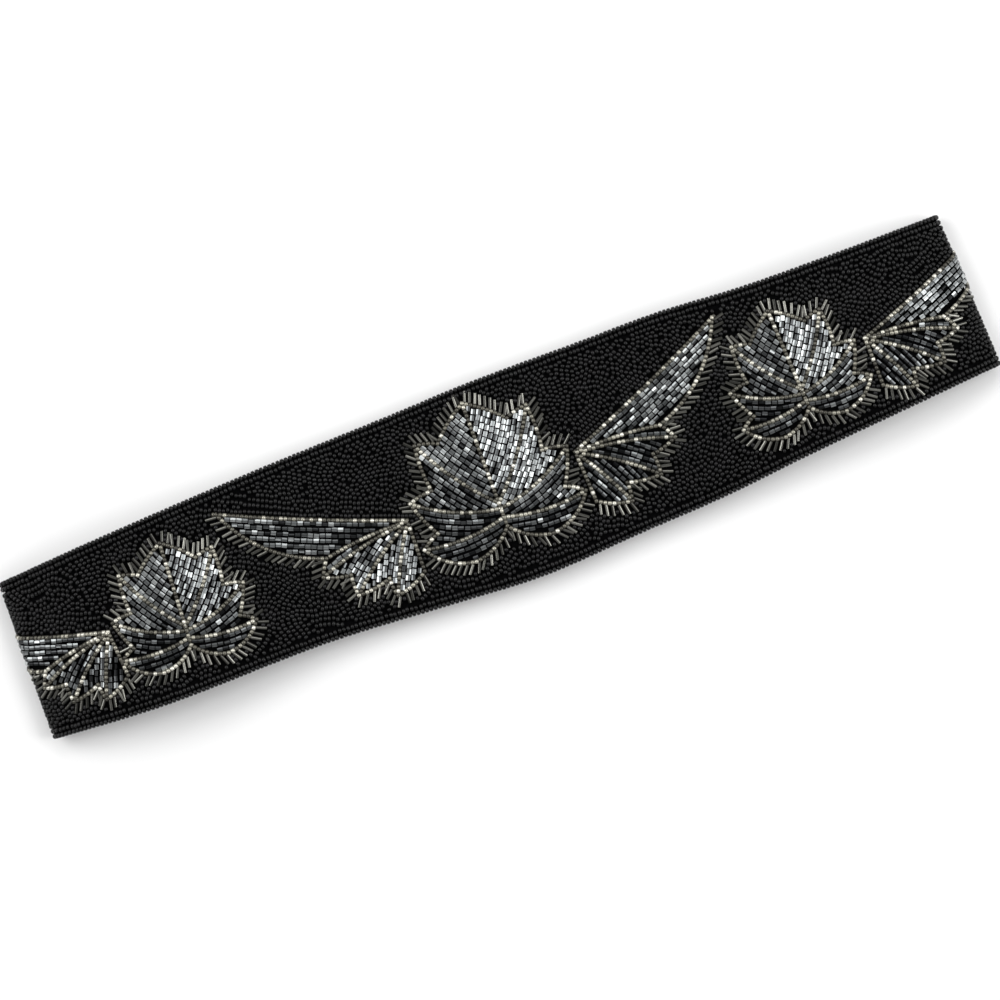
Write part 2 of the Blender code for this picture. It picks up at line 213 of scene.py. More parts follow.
def shellPiece(name, rings, material):
    # A closed strip of cloth: rings[station, point round the section], capped at both ends.
    stations, around, _ = rings.shape
    s, r = np.meshgrid(np.arange(stations - 1), np.arange(around), indexing="ij")
    after = (r + 1) % around
    here, there = s * around, (s + 1) * around
    quads = np.stack([here + r, here + after, there + after, there + r], -1)
    caps = [np.arange(around)[::-1], np.arange((stations - 1) * around, stations * around)]
    girth = np.cumsum(lengths(np.diff(rings, axis=1, prepend=rings[:, :1])), 1)
    run = np.broadcast_to(runOf(rings.mean(1))[:, None], girth.shape)
    plan = np.stack([run, girth], 2).reshape(-1, 2) * mm
    points = rings.reshape(-1, 3)
    return addPiece(name, points, quads.reshape(-1, 4), material, {"clothPlan": plan}, caps)


# The beaded band as it is cut and bent. Along is counted from the centre front, + to the right;
# across from the band's middle line, + to the upper edge; depth from the bead tops into the wall.
band = dict(
    loop=[  # the outer face from seam to seam: x, z and heading in degrees
        (-128.0, 0.0, 180), (-182.6, 0.0, 180), (-189.1, 5.8, 90), (-180.6, 12.4, 24), (-142.0, 19.0, 0),
        (-92.0, 12.6, -8), (-40.0, 9.4, -1), (44.0, 9.4, 1), (98.0, 11.8, 4), (146.0, 15.0, 0),
        (181.6, 10.8, -22), (189.1, 5.2, -90), (183.1, 0.0, -180), (128.0, 0.0, -180),
    ],
    shoulders=(3, 10),  # the top of the loop lies between these two
    contour=[  # along, and how far the upper and the lower edge are from the middle line
        (-262.0, 30.4, 30.4), (-192.0, 30.8, 31.2), (-150.0, 32.6, 34.2), (-76.0, 35.3, 35.2),
        (-30.0, 36.0, 38.8), (0.0, 36.7, 41.0), (45.0, 35.9, 39.3), (75.0, 35.5, 38.2),
        (110.0, 32.8, 35.2), (150.0, 31.6, 32.4), (192.0, 31.2, 29.8), (262.0, 30.4, 30.4),
    ],
    beads=1.7, wall=2.8,  # how far below the bead tops the cloth's two faces are
    cup=1.3, cupRun=45.0, halfCup=36.0,
    splay=0.03, splayRun=(140.0, 185.0),  # lean of the folds, and the distances between which it grows
    underLeaves=0.45,  # padding that lifts the cloth under a leaf
    faceInset=1.3, turnedEdge=(0.9, 2.25),  # of the cloth: inset of its faces, inset and depth of its edge
    clothGrid=(400, 25), padRun=2.5,  # points of the cloth; how soon the padding is at its full height
)
widest = max(band["contour"], key=lambda row: row[1] + row[2])
middleY = (widest[2] - widest[1]) / 2  # so that the widest part is centred on the origin


def bendLoop(sections, samples=60):
    # A cubic between neighbouring sections that leaves and enters along their headings, with a reach
    # of chord / cos(turn / 4) squared, so that a quarter turn is close to a round one.
    t = np.linspace(0, 1, samples + 1)[:, None]
    points, ways = [], []
    for (x0, z0, h0), (x1, z1, h1) in zip(sections, sections[1:]):
        start, rise = np.array([x0, z0]), np.array([x1 - x0, z1 - z0])
        reach = np.linalg.norm(rise) / math.cos(math.radians(h1 - h0) / 4) ** 2
        out, into = (reach * np.array([math.cos(h), math.sin(h)]) for h in np.radians([h0, h1]))
        bend, twist = 3 * rise - 2 * out - into, out + into - 2 * rise
        keep = slice(None) if len(points) == len(sections) - 2 else slice(-1)
        points.append((start + t * out + t**2 * bend + t**3 * twist)[keep])
        ways.append((out + 2 * t * bend + 3 * t**2 * twist)[keep])
    points, ways = np.concatenate(points), np.concatenate(ways)
    ways, along = unit(ways), runOf(points)
    first, last = (place * samples for place in band["shoulders"])
    top = slice(first, last + 1)
    along -= np.interp(0.0, points[top, 0], along[top])
    return SimpleNamespace(along=along, points=points, ways=ways, top=top)


loop = bendLoop(band["loop"])
topEnds, bandEnds = loop.along[loop.top][[0, -1]], loop.along[[0, -1]]


def edgeAt(along, column):
    # Cubic through the contour's table, level with the slope between each place's neighbours.
    table = np.array(band["contour"])
    places, values = table[:, 0], table[:, column]
    slopes = np.gradient(values, places)
    row = np.clip(np.searchsorted(places, along) - 1, 0, len(places) - 2)
    span, rise = places[row + 1] - places[row], values[row + 1] - values[row]
    t = np.clip((along - places[row]) / span, 0, 1)
    out, into = slopes[row] * span, slopes[row + 1] * span
    return values[row] + t * out + t**2 * (3 * rise - 2 * out - into) + t**3 * (out + into - 2 * rise)


def smooth(share):
    share = np.clip(share, 0, 1)
    return share * share * (3 - 2 * share)


def onBand(along, across, depth):
    # The loop's point at this length, moved inwards by the depth, less the cup of the front:
    # cup = height * smooth(distance from the nearer fold) * (1 - (across / half)^2). The folds lean:
    # x moves outwards by splay * smooth(share of the splay's run) below the middle line.
    x, z, run, climb = (np.interp(along, loop.along, c) for c in (*loop.points.T, *loop.ways.T))
    grown = smooth(np.minimum(along - topEnds[0], topEnds[1] - along) / band["cupRun"])
    depth = depth - band["cup"] * grown * np.clip(1 - (across / band["halfCup"]) ** 2, 0, 1)
    begins, ends = band["splayRun"]
    lean = band["splay"] * np.sign(x) * smooth((np.abs(x) - begins) / (ends - begins))
    return np.stack([x + depth * climb - lean * across, across + middleY, z - depth * run], -1)


def frameOnBand(along, across, depth):
    # Place, and unit vectors along, across and out of the band, from differences over 0.4 mm.
    alongWay, acrossWay = (
        onBand(along + x, across + y, depth) - onBand(along - x, across - y, depth)
        for x, y in ((0.2, 0.0), (0.0, 0.2))
    )
    outward = np.cross(alongWay, acrossWay)
    return onBand(along, across, depth), unit(alongWay), unit(acrossWay), unit(outward)


# Leaves: points round the root as (angle, reach, bow of the edge that leads here, bow of the vein
# to here or None). A front leaf is mirrored about its tip.
leaves = dict(
    front=[
        (0, 48.5, 0.0, 0.0), (20, 40.0, 0.7, None), (29, 45.5, 0.4, -1.6), (45, 31.0, 0.7, None),
        (57, 37.0, 0.5, -2.4), (76, 26.0, 0.5, None), (86, 32.0, 0.4, -2.0), (119, 17.5, 2.4, None),
        (180, 0.0, 1.8, None),
    ],
    side=[
        (0, 0.0, 0.0, None), (23, 71.0, -0.8, None), (-4, 33.0, 5.0, None), (-13, 37.5, 0.3, 1.2),
        (-23, 29.0, 0.5, None), (-36, 33.0, 0.3, 1.0), (-52, 22.5, 0.6, None), (-62, 28.0, 0.3, 0.6),
        (-88, 20.0, 0.9, None),
    ],
    places=[  # name, form, x on the top of the loop, across, lean, size, side
        ("centreLeaf", "front", -3.5, -18.5, 1.0, 1.0, 1),
        ("leftLeaf", "front", -128.3, -16.8, 4.0, 0.81, 1),
        ("rightLeaf", "front", 116.7, -18.3, -2.0, 0.80, 1),
        ("centreLeftWing", "side", -37.5, -3.0, 0.0, 1.0, -1),
        ("centreRightWing", "side", 30.0, -2.0, 0.0, 1.0, 1),
        ("outerLeftWing", "side", -155.0, -1.2, 6.0, 0.88, -1),
        ("outerRightWing", "side", 145.0, -2.0, 2.0, 0.93, 1),
    ],
    # Painted light and reflection: how pale each field's cut beads are made, as its rows catch the lamps
    # more or less; a front leaf's right half from the tip down, then its left half, or a side leaf's blade
    # and then its lobes
    shades=dict(
        centreLeaf=(0.84, 0.86, 0.72, 0.62, 0.77, 0.66, 0.54, 0.58),
        leftLeaf=(0.72, 0.69, 0.65, 0.57, 0.78, 0.69, 0.60, 0.60),
        rightLeaf=(0.80, 0.78, 0.72, 0.62, 0.74, 0.66, 0.58, 0.58),
        centreLeftWing=(0.59, 0.66, 0.74, 0.82, 0.82),
        centreRightWing=(0.75, 0.5, 0.5, 0.5, 0.5),
        outerLeftWing=(0.66, 0.65, 0.65, 0.61, 0.59),
        outerRightWing=(0.62, 0.55, 0.48, 0.48, 0.46),
    ),
    # Painted light and reflection added to a field's shade: paler outwards from the root, in swells along a
    # row where neighbouring beads catch the light alike, and bead by bead, at random and with painted glints
    # and dark flecks
    added=dict(outwards=0.2, middle=0.55, reach=45, swell=0.1, run=1.9, stray=0.1,
               flecks=(0, -0.34, 0.27), fleckShares=(0.73, 0.15, 0.12)),
    hub=9.0,  # the veins of a front leaf meet this far above its root
    hubDrop=(0.0, 2.0, 5.5),  # and each pair down the sides starts this much lower
    centres=dict(front=(0.0, 6.0), side=(0.0, 0.0)),  # the fringe turns away from here
    divide=((0.6, -0.4), 1.0),  # the line below a side leaf's blade: where it starts, and its bow
    # Pitch of the rows of cut beads by shade, how far they lie over the strings and start from them,
    # and the step at which a row is tested
    rows=dict(shades=(0.6, 0.8), pitch=(2.12, 1.95), over=0.3, start=0.04, step=0.25, most=24),
    stringBead=(1.62, 1.62, 1.6),  # outline and vein beads: pitch, width, length
    cutBead=(2.24, 1.84, 2.0),
    # The cut beads of a dark field lie edge up: narrower, with wider gaps, and painted paler as painted
    # light on their tops
    edgeUp=dict(shades=(0.45, 0.8), wide=(1.36, 1.86), paler=(0.06, 0.0)),
    bugle=(1.9, 1.4, 4.1),
    # How a bugle leans, how far it starts from the string, and how far it keeps from the leaf with
    # its end and with its middle, and from the other leaves
    fringe=dict(fromCentre=0.8, square=0.35, stray=0.09, start=0.75, clear=(1.3, 1.0), others=2.4),
    edgeDepth=0.35, veinDepth=0.25, tipDepth=0.75, cutDepth=0.6, bugleDepth=0.78,  # of the threads
    seed=5,
)


def turned(angle, reach):
    return reach * np.array([math.cos(math.radians(angle)), math.sin(math.radians(angle))])


def bowed(start, end, bow, steps=12):
    # A parabola from start to end that stands off to the left of the straight line by the bow.
    start, end = np.array(start, float), np.array(end, float)
    t = np.linspace(0, 1, steps + 1)[:, None]
    side = np.array([start[1] - end[1], end[0] - start[0]]) / np.linalg.norm(end - start)
    return start + t * (end - start) + 4 * bow * t * (1 - t) * side


def layLeaf(name, form, x, across, lean, size, side):
    # The edges from corner to corner, clockwise from the tip or the root; the veins from where they
    # start to their lobe's corner; and the fields between them, each with the vein its rows follow.
    rows = leaves[form]
    lobes = [n for n, row in enumerate(rows) if row[3] is not None]
    bows = [row[2] for row in rows[1:]]
    if form == "front":
        corners = [turned(90 - row[0], row[1]) for row in rows]
        corners += [turned(90 + row[0], row[1]) for row in rows[-2:0:-1]]
        bows += bows[::-1]
    else:
        corners = [turned(row[0], row[1]) for row in rows]
        bows.append(rows[0][2])
    edges = [bowed(a, b, bow) for a, b, bow in zip(corners, corners[1:] + corners[:1], bows)]
    under = edges[lobes[-1]], edges[lobes[-1] + 1]
    if form == "front":
        hub = np.array([0.0, leaves["hub"]])
        veins, fields = [bowed(hub, corners[0], 0.0)], []
        for before, lobe, drop in zip(lobes, lobes[1:], leaves["hubDrop"]):
            veins.append(bowed(hub - (0, drop), corners[lobe], rows[lobe][3]))
            rim = np.concatenate([veins[-2], [corners[before + 1]], veins[-1][::-1]])
            fields.append((rim, veins[-1] if before == 0 else veins[-2]))
        fields.append((np.concatenate([[hub], veins[-1], *under]), veins[-1]))
        fields += [(rim * (-1, 1), guide * (-1, 1)) for rim, guide in fields]
        veins += [vein * (-1, 1) for vein in veins[1:]] + [bowed(hub, (0.0, 0.0), 0.0)]
    else:
        start, bow = leaves["divide"]
        veins = [bowed(start, corners[2], bow)]
        veins += [bowed(corners[n] * 0.1, corners[n], rows[n][3]) for n in lobes]
        fields = [(np.concatenate([edges[0], edges[1], veins[0][::-1]]), edges[0])]
        for n, before, vein in zip(lobes, veins, veins[1:]):
            rim = [] if n == lobes[0] else [[corners[n - 1]]]
            fields.append((np.concatenate([before, *rim, vein[::-1]]), vein))
        fields.append((np.concatenate([veins[-1], *under]), veins[-1]))
    s, c = math.sin(math.radians(lean)), math.cos(math.radians(lean))
    there = float(np.interp(x, loop.points[loop.top, 0], loop.along[loop.top])), across

    def laid(points):
        return size * (np.asarray(points) @ np.array([[c, -s], [s, c]])) * (side, 1) + there

    return SimpleNamespace(
        name=name, form=form, side=side, size=size, centre=laid(leaves["centres"][form]),
        edges=[laid(edge) for edge in edges], veins=[laid(vein) for vein in veins],
        fields=[(laid(rim), laid(guide)) for rim, guide in fields], shades=leaves["shades"][name],
        outline=np.concatenate([laid(edge)[:-1] for edge in edges]),
    )


def inside(points, rim):
    # Odd number of the rim's edges to the right of the point.
    a, b = rim, np.roll(rim, -1, axis=0)
    crosses = (a[:, 1] > points[:, None, 1]) != (b[:, 1] > points[:, None, 1])
    climb = np.where(b[:, 1] == a[:, 1], 1.0, b[:, 1] - a[:, 1])
    there = a[:, 0] + (points[:, None, 1] - a[:, 1]) * (b[:, 0] - a[:, 0]) / climb
    return (crosses & (points[:, None, 0] < there)).sum(1) % 2 == 1


def nearestLine(points, starts, ends):
    # Distance to the nearest of some straight lines, and which of them it is.
    line = ends - starts
    toPoint = points[:, None] - starts
    t = np.clip((toPoint * line).sum(2) / np.maximum((line**2).sum(1), 1e-9), 0, 1)
    away = lengths(toPoint - t[..., None] * line)
    return away.min(1), away.argmin(1)


def distanceTo(points, lines):
    starts, ends = (np.concatenate([line[cut] for line in lines]) for cut in (slice(-1), slice(1, None)))
    return nearestLine(points, starts, ends)[0]


def stringAlong(line, pitch, start=0.0):
    # Beads at an even pitch along a line: places and the thread's direction there.
    run = runOf(line)
    at = np.arange(start, run[-1] + 1e-6, pitch)
    before, places, after = (
        np.stack([np.interp(at + step, run, line[:, i]) for i in (0, 1)], 1) for step in (-0.1, 0.0, 0.1)
    )
    return places, np.arctan2(*(after - before).T[::-1])


def fitted(line, pitch):
    # The pitch nearest to this one that takes a whole number of beads from end to end.
    length = float(lengths(np.diff(line, axis=0)).sum())
    return length / max(1, round(length / pitch))


def outlineBeads(leaf):
    # One string along every edge and vein, its pitch fitted so that a bead sits at each corner.
    pitch = leaves["stringBead"][0]
    found = []
    for lines, depth in ((leaf.edges, leaves["edgeDepth"]), (leaf.veins, leaves["veinDepth"])):
        for line in lines:
            places, angles = stringAlong(line, fitted(line, pitch))
            found.append(np.column_stack([places, angles, np.full(len(places), depth)])[:-1])
    if leaf.form == "side":  # one bead runs on past the blade's tip
        tip = leaf.edges[0][-1]
        way = unit(tip - leaf.edges[0][-4])
        found.append([[*(tip + way * pitch / 2), math.atan2(way[1], way[0]), leaves["tipDepth"]]])
    return np.concatenate(found)


def fillBeads(leaf, rng):
    # Rows at an even distance from the field's own guide. Where a row is inside the field and clear
    # of the strings round it, beads fill it from end to end.
    pitch, wide, _ = leaves["cutBead"]
    rows, added, found = SimpleNamespace(**leaves["rows"]), SimpleNamespace(**leaves["added"]), []
    room = (wide + leaves["stringBead"][1]) / 2 - rows.over
    for (rim, guide), shade in zip(leaf.fields, leaf.shades):
        rowPitch = np.interp(shade, rows.shades, rows.pitch)
        before, after = (end + (end - inner) * 9 for end, inner in (guide[:2], guide[:-3:-1]))
        line = np.concatenate([[before], guide, [after]])
        ahead = unit(np.gradient(line, axis=0))
        left = np.stack([-ahead[:, 1], ahead[:, 0]], 1)
        middle = rim.mean(0)
        nearest = lengths(line - middle).argmin()
        hand = 1 if (middle - line[nearest]) @ left[nearest] > 0 else -1
        begun = False
        for row in range(rows.most):
            offset = line + hand * (room + rows.start + row * rowPitch) * left
            places, angles = stringAlong(offset, rows.step)
            free = inside(places, rim) & (distanceTo(places, leaf.veins + leaf.edges) > room)
            if begun and not free.any():
                break
            begun |= free.any()
            bounds = np.flatnonzero(np.diff(np.concatenate([[0], free, [0]])))
            for first, last in zip(bounds[::2], bounds[1::2] - 1):
                length = (last - first) * rows.step
                gaps = int(length / pitch + 0.1)
                between = min(length / max(gaps, 1), pitch * 1.05)
                at = first + (length / 2 + between * (np.arange(gaps + 1) - gaps / 2)) / rows.step
                at = np.clip(np.rint(at).astype(int), first, last)
                # Each bead's shade is painted light and reflection: the field's shade, paler outwards,
                # swells along the row, painted glints and dark flecks, and a random part
                reach = lengths(places[at] - leaf.centre) / (added.reach * leaf.size)
                swell = np.sin(np.arange(len(at)) / added.run + rng.uniform(0, 2 * np.pi))
                paintedGlintFleck = rng.choice(added.flecks, len(at), p=added.fleckShares)
                own = shade + added.outwards * (reach - added.middle) + added.swell * swell
                own += paintedGlintFleck + rng.normal(0, added.stray, len(at))
                found.append(np.column_stack([places[at], angles[at], own]))
    return np.concatenate(found)


def clear(leaf, places, margin):
    # True where the leaf's outline is neither over a place nor nearer to it than the margin.
    return ~inside(places, leaf.outline) & (distanceTo(places, leaf.edges) > margin)


def fringeBugles(leaf, rng):
    # From each point of the outline a bugle leans from the outward normal towards the line from
    # the leaf's centre; those that would end on the leaf are left out.
    pitch, _, long = leaves["bugle"]
    fringe, found = SimpleNamespace(**leaves["fringe"]), []
    for edge in leaf.edges if leaf.form == "front" else leaf.edges[1:-1]:
        slant = 1.0  # cosine of the angle from the outward normal to the bugles
        for _ in range(2):  # the pitch is kept square to the bugles, so it is longer along a slant
            places, angles = stringAlong(edge, fitted(edge, pitch / slant), pitch / slant / 2)
            out = np.stack([-np.sin(angles), np.cos(angles)], 1) * leaf.side
            way = unit(fringe.fromCentre * unit(places - leaf.centre) + fringe.square * out)
            slant = max(0.6, float((way * out).sum(1).mean()))
        turn = np.arctan2(way[:, 1], way[:, 0]) + rng.normal(0, fringe.stray, len(places))
        way = np.stack([np.cos(turn), np.sin(turn)], 1)
        gap = fringe.start / np.clip((way * out).sum(1), 0.5, 1)
        ends, centres = (places + way * (gap + share * long)[:, None] for share in (1, 0.5))
        kept = clear(leaf, ends, fringe.clear[0]) & clear(leaf, centres, fringe.clear[1])
        found.append(np.column_stack([centres, turn])[kept])
    return np.concatenate(found)


laidLeaves = [layLeaf(*place) for place in leaves["places"]]
rng = np.random.default_rng(leaves["seed"])
for leaf in laidLeaves:
    leaf.strings, leaf.fill, leaf.bugles = outlineBeads(leaf), fillBeads(leaf, rng), fringeBugles(leaf, rng)
print("leaves laid out:", *((leaf.name, len(leaf.fill), len(leaf.bugles)) for leaf in laidLeaves))
for leaf in laidLeaves:
    for other in laidLeaves:
        if other is not leaf:
            leaf.bugles = leaf.bugles[clear(other, leaf.bugles[:, :2], leaves["fringe"]["others"])]

# The ground: rows of seed beads that follow the leaves and the edges, and swirl in patches between
ground = dict(
    pitch=1.63, rowPitch=2.08, wide=2.04, long=1.56,
    fromEdge=5.05, fromSeam=1.1,  # first row from the edges and the seams
    followLeaf=9.0, followEdge=3.0,  # rows keep to a leaf or an edge this far off
    patch=16.0, scatter=0.45, radii=(9, 45), cell=0.5, press=0.97,
    beadArea=3.2, bugleArea=8.6,  # square millimetres that each takes up
    halfWide=43.0,  # no bead lies farther from the middle line
    sharpest=0.7,  # turn from bead to bead, in radians, at which a row ends
    firstFrom=dict(string=1.9, bugle=1.0, edge=0.3, pitch=7.0),  # where the first rows start
    darts=120000, dartPress=0.6, dartTurn=0.3,
    settleSteps=30, pairEvery=6, pairReach=2.6, turnBack=0.3, leastGap=0.72,
    seed=23,
)


def gridOf(xs, ys):
    return np.stack([c.ravel() for c in np.meshgrid(xs, ys, indexing="ij")], 1)


def stepFrom(x, y, turn, reach):
    return x + reach * math.cos(turn), y + reach * math.sin(turn)


def bothSides(x, y, turn, reach):
    return [(x + k * math.sin(turn), y - k * math.cos(turn)) for k in (-reach, reach)]


def onCloth(x, y):
    return abs(y) < ground["halfWide"] and bandEnds[0] < x < bandEnds[1]


def groundField():
    # Direction of the rows on a grid: along the nearest leaf's outline or edge if it is near, or
    # round the middle of a circle that belongs to the nearest of some scattered patch centres.
    rng = np.random.default_rng(ground["seed"])
    cell = ground["cell"]
    xs = np.arange(bandEnds[0], bandEnds[1] + cell, cell)
    ys = np.arange(-ground["halfWide"] - 1, ground["halfWide"] + 1 + cell, cell)
    points = gridOf(xs, ys)
    centres = gridOf(*(np.arange(side[0], side[-1], ground["patch"]) for side in (xs, ys)))
    centres = centres + rng.uniform(-1, 1, centres.shape) * ground["scatter"] * ground["patch"]
    turn, radius = (rng.uniform(*ends, len(centres)) for ends in ((0, 2 * np.pi), ground["radii"]))
    hubs = centres + radius[:, None] * np.stack([np.cos(turn), np.sin(turn)], 1)
    wave = 2.5 * np.stack([np.sin(points[:, 1] / 4.1), np.sin(points[:, 0] / 5.3)], 1)
    own = np.concatenate([
        lengths((part + bend)[:, None] - centres).argmin(1)
        for part, bend in zip(np.array_split(points, 40), np.array_split(wave, 40))
    ])
    fromHub = points - hubs[own]
    angle = np.arctan2(fromHub[:, 1], fromHub[:, 0]) + np.pi / 2
    upper, lower = edgeAt(points[:, 0], 1), edgeAt(points[:, 0], 2)
    toEdge = np.minimum(upper - points[:, 1], lower + points[:, 1])
    angle = np.where(toEdge < ground["followEdge"], 0.0, angle)
    free = (toEdge > ground["fromEdge"]) & (points[:, 0] > bandEnds[0] + ground["fromSeam"])
    free &= points[:, 0] < bandEnds[1] - ground["fromSeam"]
    nearest = np.full(len(points), ground["followLeaf"])
    for leaf in laidLeaves:
        low, high = leaf.outline.min(0) - 10, leaf.outline.max(0) + 10
        close = np.flatnonzero(((points > low) & (points < high)).all(1))
        rim = np.concatenate([leaf.outline, leaf.outline[:1]])
        away, edge = nearestLine(points[close], rim[:-1], rim[1:])
        ahead = (rim[1:] - rim[:-1])[edge]
        closer = away < nearest[close]
        nearest[close[closer]] = away[closer]
        angle[close[closer]] = np.arctan2(ahead[:, 1], ahead[:, 0])[closer]
        free[close[inside(points[close], leaf.outline)]] = False
    return xs[0], ys[0], *(field.reshape(len(xs), -1).tolist() for field in (angle, free))


class Ground:
    # Seed beads as small ellipses on the flat band, none nearer to another than the two allow in
    # the direction between them: r(turn) = 1 / sqrt((cos / half length)^2 + (sin / half width)^2).
    size = 2.4  # of the cells in which beads are looked up, and more than two beads need

    def __init__(self):
        self.x0, self.y0, self.angle, self.free = groundField()
        self.cells, self.beads, self.fixed = {}, [], []
        self.room = sum(sum(column) for column in self.free) * ground["cell"] ** 2
        self.own = ground["pitch"] / 2, ground["wide"] / 2

    def cellOf(self, x, y):
        return int(x // self.size), int(y // self.size)

    def fieldAt(self, x, y):
        return int((x - self.x0) / ground["cell"]), int((y - self.y0) / ground["cell"])

    def angleAt(self, x, y):
        column, row = self.fieldAt(x, y)
        return self.angle[column][row]

    def put(self, x, y, turn, long, wide):
        bead = x, y, math.cos(turn), math.sin(turn), long, wide
        self.cells.setdefault(self.cellOf(x, y), []).append(bead)

    def putFixed(self, x, y, turn, radius):
        self.put(x, y, turn, radius, radius)
        self.fixed.append((x, y, turn, radius, radius))

    def isFree(self, x, y, turn, press):
        column, row = self.fieldAt(x, y)
        if not (0 <= column < len(self.free) and 0 <= row < len(self.free[0]) and self.free[column][row]):
            return False
        cos, sin = math.cos(turn), math.sin(turn)
        long, wide = self.own
        i, j = self.cellOf(x, y)
        for a in (i - 1, i, i + 1):
            for b in (j - 1, j, j + 1):
                for x1, y1, cos1, sin1, long1, wide1 in self.cells.get((a, b), ()):
                    dx, dy = x1 - x, y1 - y
                    away = math.hypot(dx, dy)
                    if away > self.size:
                        continue
                    if away < 1e-6:
                        return False
                    dx, dy = dx / away, dy / away
                    mine = 1 / math.hypot((dx * cos + dy * sin) / long, (dx * sin - dy * cos) / wide)
                    other = 1 / math.hypot((dx * cos1 + dy * sin1) / long1, (dx * sin1 - dy * cos1) / wide1)
                    if away < press * (mine + other):
                        return False
        return True

    def add(self, x, y, turn):
        self.beads.append((x, y, turn))
        self.put(x, y, turn, *self.own)

    def growRow(self, x, y):
        # A row both ways from a free place, bead by bead along the field; returns its beads.
        first = len(self.beads)
        turn = self.angleAt(x, y)
        if not self.isFree(x, y, turn, ground["press"]):
            return []
        self.add(x, y, turn)
        for way in (0.0, math.pi):
            px, py, heading = x, y, turn + way
            while True:
                mx, my = stepFrom(px, py, heading, ground["pitch"])
                if not onCloth(mx, my):
                    break
                bend = (self.angleAt(mx, my) - heading + math.pi / 2) % math.pi - math.pi / 2
                if abs(bend) > ground["sharpest"]:
                    break
                heading += bend / 2
                nx, ny = stepFrom(px, py, heading, ground["pitch"])
                heading += bend / 2
                if not self.isFree(nx, ny, heading, ground["press"]):
                    break
                self.add(nx, ny, heading)
                px, py = nx, ny
        return self.beads[first:]


def sewGround():
    # Rows spread from the edges and the leaves, each one seeding the next on both sides of it.
    # Darts thrown at random then find room for single beads.
    bed = Ground()
    stringRadius, bugleRadius = leaves["stringBead"][1] / 2, leaves["bugle"][1] / 2
    first, bugleLong, seeds = ground["firstFrom"], leaves["bugle"][2], deque()
    for leaf in laidLeaves:
        for x, y, turn, _ in leaf.strings:
            bed.putFixed(x, y, turn, stringRadius)
            seeds += bothSides(x, y, turn, first["string"])
        for x, y, turn in leaf.bugles:
            for share in (-0.42, -0.14, 0.14, 0.42):  # a bugle counts as four round beads in a row
                bed.putFixed(*stepFrom(x, y, turn, share * bugleLong), turn, bugleRadius)
            seeds.append(stepFrom(x, y, turn, bugleLong / 2 + first["bugle"]))
    along = np.arange(bandEnds[0] + 2, bandEnds[1] - 2, first["pitch"])
    for column, hand in ((1, 1), (2, -1)):
        seeds.extendleft(zip(along, hand * (edgeAt(along, column) - ground["fromEdge"] - first["edge"])))
    while seeds:
        x, y = seeds.popleft()
        if not onCloth(x, y):
            continue
        for bead in bed.growRow(x, y):
            seeds += bothSides(*bead, ground["rowPitch"])
    inRows = len(bed.beads)
    rng = np.random.default_rng(ground["seed"])
    high = bandEnds[1], ground["halfWide"], ground["dartTurn"]
    throws = rng.uniform((bandEnds[0], -high[1], -high[2]), high, (ground["darts"], 3)).tolist()
    bugles = sum(len(leaf.bugles) for leaf in laidLeaves)
    wanted = (bed.room - ground["bugleArea"] * bugles) / ground["beadArea"]
    for x, y, off in throws:
        turn = bed.angleAt(x, y) + off
        if len(bed.beads) < wanted and bed.isFree(x, y, turn, ground["dartPress"]):
            bed.add(x, y, turn)
    beads = settled(bed)
    print("ground beads:", inRows, "in rows,", len(bed.beads) - inRows, "between them,", len(beads), "kept")
    return beads


def reachTo(way, turn, long, wide):
    # The ellipse's radius in a direction; see the class above.
    x, y, cos, sin = *way.T, np.cos(turn), np.sin(turn)
    return 1 / np.hypot((x * cos + y * sin) / long, (x * sin - y * cos) / wide)


def settled(bed):
    # Two beads that press on each other each move a quarter of the overlap away along the line
    # between them; a string or bugle stays where it is. Beads that are still squeezed are left out.
    count = len(bed.beads)
    everything = np.array([(*bead, *bed.own) for bead in bed.beads] + bed.fixed)
    places, (turns, long, wide) = everything[:, :2].copy(), everything.T[2:]
    angles, sideRoom = np.array(bed.angle), bandEnds + [ground["fromSeam"], -ground["fromSeam"]]
    for step in range(ground["settleSteps"] + 1):
        if step % ground["pairEvery"] == 0:
            tree = KDTree(len(places))
            for number, (x, y) in enumerate(places.tolist()):
                tree.insert((x, y, 0), number)
            tree.balance()
            pairs = [(i, j) for i, (x, y) in enumerate(places[:count].tolist())
                     for _, j, _ in tree.find_range((x, y, 0), ground["pairReach"]) if j > i]
            first, second = np.array(pairs).T
        apart = places[second] - places[first]
        away = lengths(apart)
        way = apart / np.maximum(away, 1e-6)[:, None]
        wanted = sum(reachTo(way, turns[which], long[which], wide[which]) for which in (first, second))
        if step == ground["settleSteps"]:
            break
        push = 0.5 * np.maximum(wanted - away, 0)[:, None] * way
        loose = second < count
        shares = np.where(loose, 0.5, 1.0)[:, None]
        for axis in (0, 1):
            places[:count, axis] -= np.bincount(first, (push * shares)[:, axis], count)
            places[:count, axis] += np.bincount(second[loose], (push * shares)[loose, axis], count)
        x = places[:count, 0] = np.clip(places[:count, 0], *sideRoom)
        low, high = ground["fromEdge"] - edgeAt(x, 2), edgeAt(x, 1) - ground["fromEdge"]
        y = places[:count, 1] = np.clip(places[:count, 1], low, high)
        cells = (((c - c0) / ground["cell"]).astype(int) for c, c0 in ((x, bed.x0), (y, bed.y0)))
        bend = (angles[tuple(cells)] - turns[:count] + np.pi / 2) % np.pi - np.pi / 2
        turns[:count] += ground["turnBack"] * bend
    squeezed, close = np.zeros(count, bool), away < ground["leastGap"] * wanted
    for i, j in zip(first[close], second[close]):
        squeezed[i] |= j >= count or not squeezed[j]
    return np.column_stack([places[:count], turns[:count]])[~squeezed]


groundBeads = sewGround()
